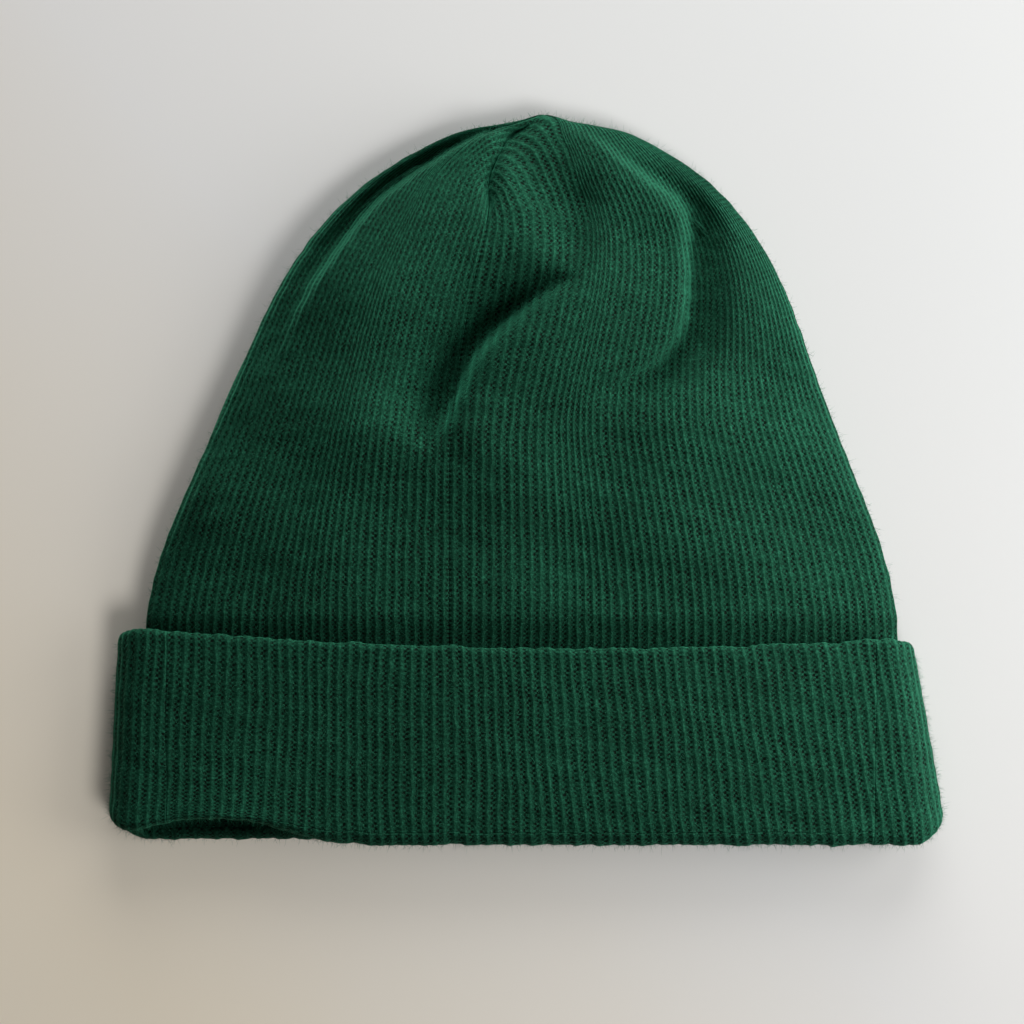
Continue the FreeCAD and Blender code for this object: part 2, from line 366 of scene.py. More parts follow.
def line_rows(y0, y1, r, facing, rows):
    """The same along a straight line."""
    length = abs(y1 - y0)
    return [
        (y0 + (y1 - y0) * k / (rows - 1), r, 0.0, facing, length * k / (rows - 1))
        for k in range(rows)
    ]


def chain(parts, travelled=0.0):
    """Joins row lists into one array, with the course number as the last value."""
    rows = []
    for part in parts:
        for row in part[1 if rows else 0:]:
            rows.append(row[:4] + ((travelled + row[4]) / COURSE,))
        travelled += part[-1][4]
    return np.array(rows)


def fold_rows(rows):
    return arc_rows(FOLD_Y, HINGE_R, FOLD_R, -180, 0, rows)


def panel_rows(detail):
    """Up the cuff's outside, over the mouth edge and down the inside."""
    height = MOUTH_Y - FOLD_Y
    up = line_rows(FOLD_Y, MOUTH_Y, OUTER_R, 1, int(height / COURSE * detail))
    over = arc_rows(MOUTH_Y, OUTER_R - MOUTH_R, MOUTH_R, 0, 180, MOUTH_STEPS * detail)
    down = line_rows(MOUTH_Y, FOLD_Y, BACKING_R, -1, int(height / COURSE * INSIDE_DETAIL))
    return [up, over, down]


def knit_strip(name, ribs, rows, depth):
    """A closed piece of cuff: the profile in rows, carried along the ribs and capped."""
    rib, y = np.meshgrid(ribs, rows[:, 0], indexing="ij")
    rib = straight_ends(rib, y)
    radius, out_y, out_r, course = (np.broadcast_to(rows[:, k], y.shape) for k in (1, 2, 3, 4))
    relief = uneven_relief(rib, course, depth, seed=11)
    x, z, turn = loop_place(rib, radius + out_r * relief)
    x, y, z = drape(x, y + out_y * relief, MID_Z + z, turn)
    points = np.stack([x, y, z], -1)
    attributes = {"rib": rib, "course": course}
    piece = make_mesh(name, points.reshape(-1, 3), tube_faces(*rib.shape), attributes)
    return piece, points


def rib_range(start, end, per_rib=COLUMNS_PER_RIB):
    return start + np.arange(round((end - start) * per_rib) + 1) / per_rib


def panel_ribs(side):
    """Rib numbers across the front or rear panel. The rear is seen less and is coarser."""
    if side == "front":
        return rib_range(-PANEL_RIBS, PANEL_RIBS)
    start = 2 * RIBS_PER_QUARTER - PANEL_RIBS
    ribs = rib_range(start, start + 2 * PANEL_RIBS, REAR_COLUMNS_PER_RIB)
    return np.where(ribs > 2 * RIBS_PER_QUARTER, ribs - 4 * RIBS_PER_QUARTER, ribs)


def ride_panel(piece, side):
    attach(piece, f"{side}_cuff")


def cuff_panel(side):
    """The flat front or rear of the cuff, both layers and the mouth edge."""
    rows = chain(panel_rows(CUFF_DETAIL[side]), travelled=math.pi * FOLD_R)
    piece, points = knit_strip(f"{side}_cuff", panel_ribs(side), rows, CUFF_DEPTH)
    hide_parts(f"{side}_cuff_face", f"{side}_cuff_backing")
    ride_panel(piece, side)
    return piece, points


def bend_fold(piece):
    """The fold stays where it lies: its placement is baked into its mesh."""
    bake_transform(piece)


def cuff_fold(side):
    """The lower edge, where the hat's two layers turn up into the cuff."""
    inside = arc_rows(FOLD_Y, HINGE_R, FOLD_CORE_R, 0, -180, FOLD_CORE_ROWS)
    rows = chain([fold_rows(FOLD_ROWS[side]), inside])
    piece, points = knit_strip(f"{side}_fold", panel_ribs(side), rows, CUFF_DEPTH)
    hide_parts(f"{side}_edge_fold_face", f"{side}_edge_fold_backing")
    bend_fold(piece)
    return piece, points


def ride_side(piece):
    """The side bends ride on the cuff's sides, each with a mesh of its own."""
    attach(piece, "cuff_sides")
    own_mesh(piece)


def cuff_side(side):
    """The bend of the cuff round one side, with its part of the lower fold."""
    ribs = rib_range(PANEL_RIBS, 2 * RIBS_PER_QUARTER - PANEL_RIBS)
    if side == "left":
        ribs = -ribs[::-1]
    rows = chain([fold_rows(FOLD_ROWS["front"])] + panel_rows(CUFF_DETAIL["front"]))
    piece, points = knit_strip(f"{side}_cuff_side", ribs, rows, CUFF_DEPTH)
    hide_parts(f"{side}_cuff_side_face", f"{side}_cuff_side_backing")
    ride_side(piece)
    return piece, points


# --- The body and crown ---

SPLIT_Y = CUFF_TOP_Y - 12  # the body is divided here, under the cuff
BODY_ROWS = {"front": (307, 108), "rear": (149, 37)}  # of the crown, and under the cuff
INNER_ROW_STEP = 5  # the inner side has one row for this many outside
BODY_DEPTH = 0.20  # of the ribs' relief
EDGE_SQUARENESS = 2.4  # exponent of the body's rounded cross-section
EDGE_HEIGHT = 11.0  # half the body's height
PROFILE_STEPS, PATH_SAMPLES, CURVE_SAMPLES = 2000, 900, 80  # how finely lengths are measured
MOUTH_SQUARENESS, MOUTH_REACH = 6.0, 20.0  # the opening is boxier, and up to this far from it
BRIM_OVERLAP = 2.5  # how far the body runs on into the lower fold
TIP_ROUNDING = 12.0  # exponent of how the crown closes at the tip
TIP_SHIFT, SHIFT_POWER = 6.5, 3  # how far the tip lies off the middle line, and how late it goes
OUTLINE_WAVE, OUTLINE_LOW, OUTLINE_HIGH = 2.4, 22.0, 78.0  # the outline's drift off the CAD's
OUTLINE_IN, OUTLINE_OUT = (-80, -40), (82, 100)  # where that drift fades in and out again
QUICK_SHARE, QUICK_RISE, FULL_RISE = 0.45, (-48, -37), (-48, 15)  # the front's rise off the cuff
FOLD_ALLOWANCE = 2  # the smooth body stays this far below the CAD's top
TIP_DROP, TIP_DROP_Y = 8, 40  # and its front sinks by this much from here to the tip
REAR_LOW_Y = 5  # its rear reaches the lowest level here
DART_RIBS = 12  # on each side, that end on the dart's crease

# The rib that runs into each dart, as (y, x) from the lower fold to the tip, then the y of the
# dart's lower end
FRONT_LINE = [
    (-102.2, -20), (-34, -20), (22, -18.5), (50, -14), (74.5, -8.9), (83, -8.7), (90, -6),
    (97, -1.5), (102.2, 6.6),
]
REAR_LINE = [(-102.2, 20), (-34, 20), (22, 18), (50, 14), (72, 11), (88, 8), (102.2, 6.6)]
DART_LOW = {"front": 74.5, "rear": 72.0}
# Ribs between the dart and the side, and the stretch of the outline by the tip where they end
BODY_RIBS = {
    ("front", -1): 34, ("front", 1): 50,
    ("rear", -1): 50, ("rear", 1): 34,
}
SIDE_REACH = {-1: 26.0, 1: 44.0}
DART_BLUNT = 2.4  # how sharply the ribs by the dart turn in to it
BLUNT_RIBS = (DART_RIBS - 8, DART_RIBS + 6)  # and the ribs over which that fades
END_CROWDING = 1.6  # how much the samples of a rib's path crowd towards its end
CROWN_SPREAD = {-1: 0.0, 1: 0.45}  # how far the crown's ribs crowd towards each side's outline
SPREAD_Y = (10, 70)


def edge_profile():
    """How a cross-section runs from the middle of the front (0, 1) to the side (1, 0), in
    steps of even length."""
    a = np.linspace(0, math.pi / 2, PROFILE_STEPS)
    across = np.sin(a) ** (2 / EDGE_SQUARENESS)
    up = np.cos(a) ** (2 / EDGE_SQUARENESS)
    steps = np.hypot(np.diff(across) * BODY_HALF_WIDTH, np.diff(up) * EDGE_HEIGHT)
    length = np.concatenate([[0], np.cumsum(steps)])
    return length / length[-1], across


EDGE_LENGTH, EDGE_ACROSS = edge_profile()


def half_width(y):
    share = np.clip((y - BOTTOM_Y) / LENGTH, 0, 1)
    return BODY_HALF_WIDTH * np.sqrt(1 - share ** 2)


def outline_change(y):
    """The real outline is fuller than the CAD's low down and by the crown, and slimmer between."""
    turn = math.pi * (y - OUTLINE_LOW) / (OUTLINE_HIGH - OUTLINE_LOW)
    return -OUTLINE_WAVE * np.cos(turn) * smooth(y, *OUTLINE_IN) * (1 - smooth(y, *OUTLINE_OUT))


def body_levels(y):
    """Highest and lowest z of the body before its folds."""
    rise = QUICK_SHARE * smooth(y, *QUICK_RISE) + (1 - QUICK_SHARE) * smooth(y, *FULL_RISE)
    front = MID_Z + SHELL_R + (BODY_TOP - FOLD_ALLOWANCE - MID_Z - SHELL_R) * rise
    front = front - TIP_DROP * smooth(y, TIP_DROP_Y, TIP_Y)
    rear = MID_Z - SHELL_R + (BODY_LOW - MID_Z + SHELL_R) * smooth(y, CUFF_TOP_Y, REAR_LOW_Y)
    return front, rear


def cross_section(across, y):
    """Height at a share of the half width, as a share of the height in the middle."""
    exponent = EDGE_SQUARENESS + MOUTH_SQUARENESS * (1 - smooth(y, FOLD_Y, FOLD_Y + MOUTH_REACH))
    return (1 - np.clip(across, 0, 1) ** exponent) ** (1 / exponent)


def body_height(side, share, y):
    """z of the smooth body at a share of the half width."""
    high, low = body_levels(y)
    middle = (high + low) / 2
    level = high if side == "front" else low
    closing = (1 - np.clip((y - BOTTOM_Y) / LENGTH, 0, 1) ** TIP_ROUNDING) ** (1 / EDGE_SQUARENESS)
    return middle + cross_section(share, y) * closing * (level - middle)


def rib_ends(number, side, sign):
    """For each rib: half the width and the height of the ellipse it follows, the x, from the
    dart's line, where it ends: on the dart's crease or, farther out, on the outline, and how
    blunt the ellipse is there."""
    total = BODY_RIBS[side, sign]
    width = BODY_HALF_WIDTH * np.interp(number / total, EDGE_LENGTH, EDGE_ACROSS)
    on_dart = number <= DART_RIBS
    end_y = DART_LOW[side] + (TIP_Y - DART_LOW[side]) * number / DART_RIBS
    end_x = SIDE_REACH[sign] * (number - DART_RIBS) / (total - DART_RIBS)
    end_x = np.where(on_dart, 0, end_x)
    outline_y = LENGTH * np.sqrt(1 - (end_x / BODY_HALF_WIDTH) ** 2)
    reach = np.sqrt(1 - (end_x / np.maximum(width, 1e-3)) ** 2)
    height = np.where(on_dart, end_y - BOTTOM_Y, outline_y / reach)
    bluntness = DART_BLUNT + (1 - DART_BLUNT) * smooth(number, *BLUNT_RIBS)
    return width, height, end_x, bluntness


def rib_paths(number, side, sign):
    """For each rib, the points of its line from the lower fold up to its end: x, y, z and the
    share of the half width."""
    width, height, end_x, bluntness = rib_ends(number, side, sign)
    last_turn = np.arccos(np.clip(end_x / np.maximum(width, 1e-3), 0, 1))
    steps = 1 - (1 - np.linspace(0, 1, PATH_SAMPLES)) ** END_CROWDING
    turn = last_turn[:, None] * steps
    off = width[:, None] * np.cos(turn)
    last_y = height * np.sin(last_turn)
    rise = (height[:, None] * np.sin(turn)) / last_y[:, None]
    y = BOTTOM_Y + last_y[:, None] * rise ** (1 / bluntness[:, None])
    share = np.clip(off / np.maximum(half_width(y), 1e-3), 0, 1)
    share = share + CROWN_SPREAD[sign] * smooth(y, *SPREAD_Y) * share * (1 - share)
    line = np.array(FRONT_LINE if side == "front" else REAR_LINE, float)
    line_x = spline(line[:, 0], line[:, 1], y)
    outline_x = TIP_SHIFT * ((y - BOTTOM_Y) / LENGTH) ** SHIFT_POWER
    outline = half_width(y) + outline_change(y)
    x = sign * outline * share + line_x * (1 - share) + outline_x * share
    z = body_height(side, share, y)
    return x, y, z, share


def even_rows(paths, y_from, y_to, rows):
    """Each path cut to y_from..y_to (None: its end) and set out in even steps, with the length
    still to come and the length passed."""
    x, y, z, _ = paths
    steps = np.sqrt(sum(np.diff(axis) ** 2 for axis in (x, y, z)))
    lengths = np.concatenate([np.zeros((len(x), 1)), np.cumsum(steps, axis=1)], axis=1)
    out = np.zeros((len(paths), len(x), rows))
    passed = np.zeros((len(x), rows))
    for k, length in enumerate(lengths):
        start = np.interp(y_from, y[k], length)
        end = length[-1] if y_to is None else np.interp(y_to, y[k], length)
        passed[k] = np.linspace(start, end, rows)
        for axis, values in enumerate(paths):
            out[axis, k] = np.interp(passed[k], length, values[k])
    return out, lengths[:, -1:] - passed, passed


# Folds of the crown. Each runs along points in (x, y), and fades in and out over shares of its
# length. Its waves are (offset to the left of the line, height, width on the right of the
# offset, width on the left of it).
FOLDS = [
    {  # soft rim from the tip down the left, with a narrow valley outside it
        "points": [(-2, 100), (-17, 93.4), (-38, 79), (-51, 63.5), (-61, 48), (-72, 24)],
        "fade": (0.12, 0.50),
        "waves": [(2.4, 4.8, 2.0, 22), (-1.6, -6.0, 3.2, 2.2)],
    },
    {  # rim of the raised patch on the right
        "points": [(6, 97), (17.4, 94.5), (26, 87.5), (34.5, 81.2), (43, 76), (46, 67), (45, 52)],
        "fade": (0.42, 0.42),
        "waves": [(0, 4.4, 13, 2.4)],
    },
    {  # valley outside that rim, which then sweeps in under the patch
        "points": [
            (22, 97.5), (37, 84), (47, 74), (48.6, 62), (48.5, 50), (46.5, 39.5), (40, 31.5),
            (29, 25.5), (15, 20),
        ],
        "fade": (0.38, 0.30),
        "waves": [(0, -9.5, 2.8, 7.5)],
    },
    {  # deep slanting crease: a gentle slope on its left, a groove and a steep wall on its right
        "points": [(24, 60), (7, 52), (-6, 43), (-13.5, 35), (-19.5, 23), (-27, 6)],
        "fade": (0.45, 0.16),
        "waves": [(0, -6.5, 14, 2.6), (-0.5, -4.2, 4.6, 2.4), (8, 2.4, 4, 10)],
    },
    {  # shallow hollow between the dart and the raised patch
        "points": [(16, 88), (15, 74), (12, 56)],
        "fade": (0.5, 0.3),
        "waves": [(0, -3.2, 8, 6)],
    },
]
BULGES = [(27, 50, 2.6, 22), (62, 30, -2.0, 16)]  # x, y, height, width
FOLD_REACH = 8.0  # how far a fold runs on past the end of its line
FOLD_MARGIN = 6.5  # the folds flatten out this near to the outline
FOLDS_FADE_IN = (CUFF_TOP_Y - 2, CUFF_TOP_Y + 22)  # and they fade in here, above the cuff
WOBBLE, WOBBLE_LENGTH = 0.8, 38


def curve_distance(x, y, points):
    """Distance to a smooth curve through the points, positive on its left, the share of its
    length at the nearest place, and how far the point lies beyond its ends."""
    points = np.array(points, float)
    knots = np.linspace(0, 1, len(points))
    fine = np.linspace(0, 1, CURVE_SAMPLES)
    curve = np.stack([spline(knots, points[:, k], fine) for k in (0, 1)], -1)
    tangent = unit(np.gradient(curve, axis=0))
    flat_x, flat_y = x.ravel(), y.ravel()
    best = np.full(flat_x.shape, np.inf)
    index = np.zeros(flat_x.shape, int)
    for k, (curve_x, curve_y) in enumerate(curve):
        distance = np.hypot(flat_x - curve_x, flat_y - curve_y)
        closer = distance < best
        best[closer] = distance[closer]
        index[closer] = k
    off = np.stack([flat_x, flat_y], -1) - curve[index]
    normal = np.stack([-tangent[index, 1], tangent[index, 0]], -1)
    signed = (off * normal).sum(1)
    beyond = (off * tangent[index]).sum(1)
    return signed.reshape(x.shape), fine[index].reshape(x.shape), beyond.reshape(x.shape)


def crown_folds(x, y):
    """Height of the crown's folds above the smooth body."""
    height = WOBBLE * waves(x, y, WOBBLE_LENGTH, seed=21)
    for fold in FOLDS:
        off, share, beyond = curve_distance(x, y, fold["points"])
        start, end = fold["fade"]
        along = smooth(share, 0, start) * (1 - smooth(share, 1 - end, 1))
        along = along * bell(beyond, FOLD_REACH)
        for offset, amount, right_width, left_width in fold["waves"]:
            width = np.where(off > offset, left_width, right_width)
            height += along * amount * bell(off - offset, width)
    for centre_x, centre_y, amount, width in BULGES:
        height += amount * bell(np.hypot(x - centre_x, y - centre_y), width)
    return height


def fold_room(share, y):
    """1 where the folds have their full height, 0 at the outline and under the cuff."""
    up = (y - BOTTOM_Y) / LENGTH
    reach = np.sqrt(share ** 2 * (1 - up ** 2) + up ** 2)
    inset = (1 / reach - 1) * np.hypot(share * half_width(y), y - BOTTOM_Y)
    return smooth(inset, 0, FOLD_MARGIN) * smooth(y, *FOLDS_FADE_IN)


SEAM_DEPTH, SEAM_WIDTH = 4.4, 2.4  # of the dart's crease
OUTLINE_SEAM = 0.2  # the crease by the outline, as a share of the dart's
SEAM_RIBS = (DART_RIBS - 2, DART_RIBS + 4)  # the ribs over which it becomes that
SEAM_END_Y, SEAM_FADE = 101.0, 4  # the crease fades out below here
SEAM_SIDE_FADE = 4  # exponent of how it fades towards the outline
TUFT_HEIGHT, TUFT_WIDTH, TUFT_REACH = 1.6, 5.5, 6  # the tip stands above the outline beside it
LEAST_FACING = 0.05  # of the inner side's normals
FULL_RELIEF_PITCH = 2.0  # ribs that are closer together have shallower relief
END_RELIEF, END_RELIEF_REACH = 0.4, 2.5  # and so do the last few millimetres of a rib


def inner_side(points, facing):
    """The layer's inner side, and its outward normals. They never point back across the body,
    so that the inside stays inside where the ribs crowd together."""
    normals = grid_normals(points)
    well_inside = (points.shape[0] // 4, points.shape[1] // 3, 2)
    if normals[well_inside] * facing < 0:
        normals = -normals
    normals[..., 1] = np.maximum(normals[..., 1], 0)
    normals[..., 2] = facing * np.maximum(normals[..., 2] * facing, LEAST_FACING)
    normals = unit(normals)
    return points - LAYER * normals, normals


def dart_depth(number, share, y, left):
    """How far the crease where a rib ends lies below the smooth body."""
    strength = 1 - (1 - OUTLINE_SEAM) * smooth(number, *SEAM_RIBS)[:, None]
    strength = strength * (1 - smooth(y, SEAM_END_Y - SEAM_FADE, SEAM_END_Y))
    return SEAM_DEPTH * strength * np.exp(-left / SEAM_WIDTH) * (1 - share ** SEAM_SIDE_FADE)


def relief_room(points, left, detail):
    """The share of the relief's depth that a place on the body has room for."""
    spacing = np.linalg.norm(np.gradient(points, axis=0), axis=-1)
    room = np.clip(spacing * detail / FULL_RELIEF_PITCH, 0, 1)
    return room * (END_RELIEF + (1 - END_RELIEF) * smooth(left, 0, END_RELIEF_REACH))


def body_surface(number, rows, side, sign, y_from, y_to, detail):
    """Outer points with relief, inner points, rib and course numbers for a quarter of the body."""
    (x, y, z, share), left, passed = even_rows(rib_paths(number, side, sign), y_from, y_to, rows)
    facing = 1 if side == "front" else -1
    if side == "front":
        z = z + crown_folds(x, y) * fold_room(share, y)
    z = z - facing * dart_depth(number, share, y, left)
    tuft = bell(x - TIP_SHIFT, TUFT_WIDTH)
    y = y - TUFT_HEIGHT * (1 - tuft) * smooth(y, TIP_Y - TUFT_REACH, TIP_Y)
    smooth_points = np.stack(lift_lip(x, y, z), -1)
    rib = np.broadcast_to(number[:, None], x.shape)
    course = passed / COURSE
    inside, normals = inner_side(smooth_points, facing)
    relief = uneven_relief(rib, course, BODY_DEPTH, seed=12)
    relief = relief * relief_room(smooth_points, left, detail)
    points = smooth_points + normals * relief[..., None]
    return points, inside, rib, course


def body_piece(name, side, sign, y_from, y_to, rows):
    detail = COLUMNS_PER_RIB if side == "front" else REAR_COLUMNS_PER_RIB
    number = rib_range(0, BODY_RIBS[side, sign], detail)
    grids = body_surface(number, rows, side, sign, y_from, y_to, detail)
    if (sign > 0) != (side == "front"):
        grids = [grid[::-1] for grid in grids]
    points, inside, rib, course = grids
    piece = two_sided_sheet(name, points, inside, rib, course, (detail, INNER_ROW_STEP))
    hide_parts("outer_shell")
    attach(piece, "hat")
    return piece, points


def body():
    """The outer shell in quarters, each a lower part under the cuff and a crown."""
    made = []
    brim_y = FOLD_Y - BRIM_OVERLAP
    for side, (crown_rows, under_rows) in BODY_ROWS.items():
        for sign, name in ((-1, "left"), (1, "right")):
            place = f"{side}_{name}"
            upper = body_piece("crown_" + place, side, sign, SPLIT_Y, None, crown_rows)
            under = body_piece("brim_" + place, side, sign, brim_y, SPLIT_Y, under_rows)
            made.append((side, upper, under))
    return made


# --- The lining ---

LINING_ROWS, LINING_COLUMNS_PER_RIB = 121, 3
LINING_ROOM, LINING_ROOM_Y = 3.0, 30  # how much deeper its front lies in the crown, from here up
LINING_RELIEF = 0.4
LINING_SHORTFALL = 8.0  # how far its rounded end would run on past its blunt one


def lining_grid(number, y, depth):
    """The lining's outer side (depth 0) or its inner side, as a closed loop of columns. Column
    0 is at the middle of the front, and the numbers grow to the right and round the rear."""
    quarter = number / RIBS_PER_QUARTER
    fold = np.abs((quarter + 1) % 2 - 1)
    across = np.interp(fold, EDGE_LENGTH, EDGE_ACROSS)
    x_sign = np.where(quarter < 2, 1, -1)
    z_sign = np.where((quarter < 1) | (quarter > 3), 1, -1)
    end_y = lining_high[1]
    share = np.clip((y - BOTTOM_Y) / (end_y - BOTTOM_Y + LINING_SHORTFALL), 0, 1)
    x = (x_sign * across)[:, None] * (lining_high[0] - depth) * np.sqrt(1 - share ** 2)
    inset = SHELL_R - POCKET_R - LAYER + depth
    high, low = body_levels(y)
    high, low = high - inset - LINING_ROOM * smooth(y, CUFF_TOP_Y, LINING_ROOM_Y), low + inset
    up = z_sign[:, None] * cross_section(across[:, None], y)
    z = (high + low) / 2 + up * (high - low) / 2
    y = np.broadcast_to(y, x.shape)
    dent = np.minimum(crown_folds(x, y), 0) * fold_room(across[:, None], y)
    z = z + dent * np.maximum(up, 0)
    if depth:
        relief = knit_relief(number[:, None], y / COURSE, LINING_RELIEF)
        z = z - z_sign[:, None] * relief
    return np.stack(lift_lip(x, y, z), -1)


def lining():
    """The inner layer: a smaller pocket whose ribs face the wearer."""
    number = rib_range(0, 4 * RIBS_PER_QUARTER, LINING_COLUMNS_PER_RIB)[:-1]
    y = FOLD_Y + (lining_high[1] - FOLD_Y) * np.sin(np.linspace(0, math.pi / 2, LINING_ROWS))
    grids = [lining_grid(number, y, depth) for depth in (0.0, LAYER)]
    columns, rows = grids[0].shape[:2]
    here = np.arange(columns) * rows
    there = np.roll(here, -1)
    j = np.arange(rows - 1)
    h, n = here[:, None] + j, there[:, None] + j
    wall = np.stack([h, h + 1, n + 1, n], -1).reshape(-1, 4)
    inside = columns * rows
    rim = np.stack([here, there, there + inside, here + inside], -1)
    end = (here + rows - 1)[None, :]
    faces = [wall, wall[:, ::-1] + inside, rim, end, end[:, ::-1] + inside]
    rib = np.broadcast_to(number[:, None], (columns, rows)).ravel()
    course = np.broadcast_to(y / COURSE, (columns, rows)).ravel()
    attributes = {"rib": np.tile(rib, 2), "course": np.tile(course, 2)}
    points = np.concatenate([grid.reshape(-1, 3) for grid in grids])
    piece = make_mesh("lining_knit", points, faces, attributes)
    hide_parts("lining")
    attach(piece, "hat")
    return piece


# --- The hidden seams ---

STITCH = 1.4  # pitch of the thread wound round each seam
CORD_R, THREAD_R = 1.05, 0.22
CORD_STEPS_PER_MM, CORD_SIDES = 4, 12
SPINE_BLUR = 3  # the CAD's corners this near to a place are averaged
OUTERMOST = 0.95  # share of the half width, beyond which the crown's height falls too fast


def seam_spine(node):
    """The middle line of a CAD seam, lowered where the crown folds in, but above the rear."""
    corners = np.array([vertex.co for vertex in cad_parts[node].data.vertices]) * MM_PER_M
    low, high = corners[:, 1].min() + CORD_R, corners[:, 1].max() - CORD_R
    y = np.linspace(low, high, int((high - low) * CORD_STEPS_PER_MM))
    near = bell(corners[None, :, 1] - y[:, None], SPINE_BLUR)
    near /= near.sum(axis=1, keepdims=True)
    x, z = near @ corners[:, 0], near @ corners[:, 2]
    share = np.clip(np.abs(x) / half_width(y), 0, OUTERMOST)
    cover = body_height("front", share, y) + crown_folds(x, y) * fold_room(share, y)
    z = np.minimum(z, cover - SEAM_DEPTH - LAYER - CORD_R)
    z = np.maximum(z, body_height("rear", share, y) + LAYER + CORD_R)
    return np.stack([x, y, z], -1)


def seam_cord(node):
    """One overlocked seam: a cord with thread wound round it."""
    spine = seam_spine(node)
    tangent = unit(np.gradient(spine, axis=0))
    across = unit(np.cross(tangent, (0, 0, 1)))
    up = np.cross(across, tangent)
    length = np.concatenate([[0], np.cumsum(np.linalg.norm(np.diff(spine, axis=0), axis=1))])
    angle = np.linspace(0, 2 * math.pi, CORD_SIDES, endpoint=False)
    wound = 0.5 + 0.5 * np.cos(2 * math.pi * length[:, None] / STITCH + angle)
    radius = (CORD_R + THREAD_R * wound ** 2)[..., None]
    ring = np.cos(angle)[:, None] * across[:, None] + np.sin(angle)[:, None] * up[:, None]
    points = (spine[:, None] + radius * ring).reshape(-1, 3)
    piece = make_mesh(node + "_thread", points, tube_faces(len(spine), CORD_SIDES))
    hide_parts(node)
    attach(piece, "hat")
    return piece


# --- Fuzz ---

FIBRE_R, FIBRE_LENGTHS = 0.030, (0.7, 2.2)
FIBRE_ROOT, ROOT_SCATTER = 0.2, 0.15  # how deep it starts in the knit, and how far from a vertex
FIBRE_RISE, FIBRE_TANGLE = (0.35, 1.0), 0.6  # it points this much outwards, and this much anywhere
LEAST_RISE, FIBRE_BEND = 0.2, 0.3
FIBRE_RINGS = ((0.0, 1.0), (0.4, 0.9), (0.75, 0.7))  # shares of its length and of its radius
TABLE_CLEARANCE = 0.02
EDGE_GAIN = 5.0  # how much denser the fibres that show at the hat's outline are
PANEL_FIBRES = {"front": 5000, "rear": 2000}
FOLD_FIBRES = {"front": 2500, "rear": 1000}
CROWN_FIBRES = {"front": 9000, "rear": 4000}
SIDE_FIBRES = 2500
PANEL_SEED, FOLD_SEED, SIDE_SEED, CROWN_SEED = 100, 110, 120, 130


def fibre_roots(grids, count, random):
    """Places spread over the grids' outer sides, with their normals."""
    places, normals, weights = [], [], []
    for points in grids:
        normal = grid_normals(points)
        area = np.linalg.norm(
            np.cross(np.gradient(points, axis=0), np.gradient(points, axis=1)), axis=-1
        )
        places.append(points.reshape(-1, 3))
        normals.append(normal.reshape(-1, 3))
        weights.append((area * (1 + EDGE_GAIN * (1 - np.abs(normal[..., 2])) ** 2)).ravel())
    places, normals = np.concatenate(places), np.concatenate(normals)
    weights = np.concatenate(weights)
    chosen = random.choice(len(places), count, p=weights / weights.sum())
    return places[chosen] + random.normal(0, ROOT_SCATTER, (count, 3)), normals[chosen]


def fuzz(name, grids, count, seed):
    """Loose fibres as thin closed spikes, each with three corners, two bends and a tip."""
    random = np.random.default_rng(seed)
    place, normal = fibre_roots(grids, count, random)
    outwards = normal * random.uniform(*FIBRE_RISE, (count, 1))
    direction = unit(outwards + FIBRE_TANGLE * random.normal(size=(count, 3)))
    lacking = np.maximum(0, LEAST_RISE - (direction * normal).sum(1))
    direction = unit(direction + normal * lacking[:, None])
    length = random.uniform(*FIBRE_LENGTHS, (count, 1))
    bend = random.normal(0, FIBRE_BEND, (count, 3))
    across = unit(np.cross(direction, random.normal(size=(count, 3))))
    up = np.cross(direction, across)
    place = place - FIBRE_ROOT * normal
    spikes = []
    for share, width in FIBRE_RINGS:
        centre = place + length * (direction * share + bend * share ** 2)
        for corner in range(3):
            angle = 2 * math.pi * corner / 3
            out = math.cos(angle) * across + math.sin(angle) * up
            spikes.append(centre + FIBRE_R * width * out)
    spikes.append(place + length * (direction + bend))
    points = np.stack(spikes, 1).reshape(-1, 3)
    points[:, 2] = np.maximum(points[:, 2], TABLE_CLEARANCE)
    first = (np.arange(count) * len(spikes))[:, None, None]
    sides = np.array([
        [ring + a, ring + b, ring + 3 + b, ring + 3 + a]
        for ring in (0, 3) for a, b in ((0, 1), (1, 2), (2, 0))
    ])
    ends = np.array([[0, 2, 1], [6, 7, 9], [7, 8, 9], [8, 6, 9]])
    faces = [(first + sides).reshape(-1, 4), (first + ends).reshape(-1, 3)]
    return make_mesh(name, points, faces)


# --- Materials ---

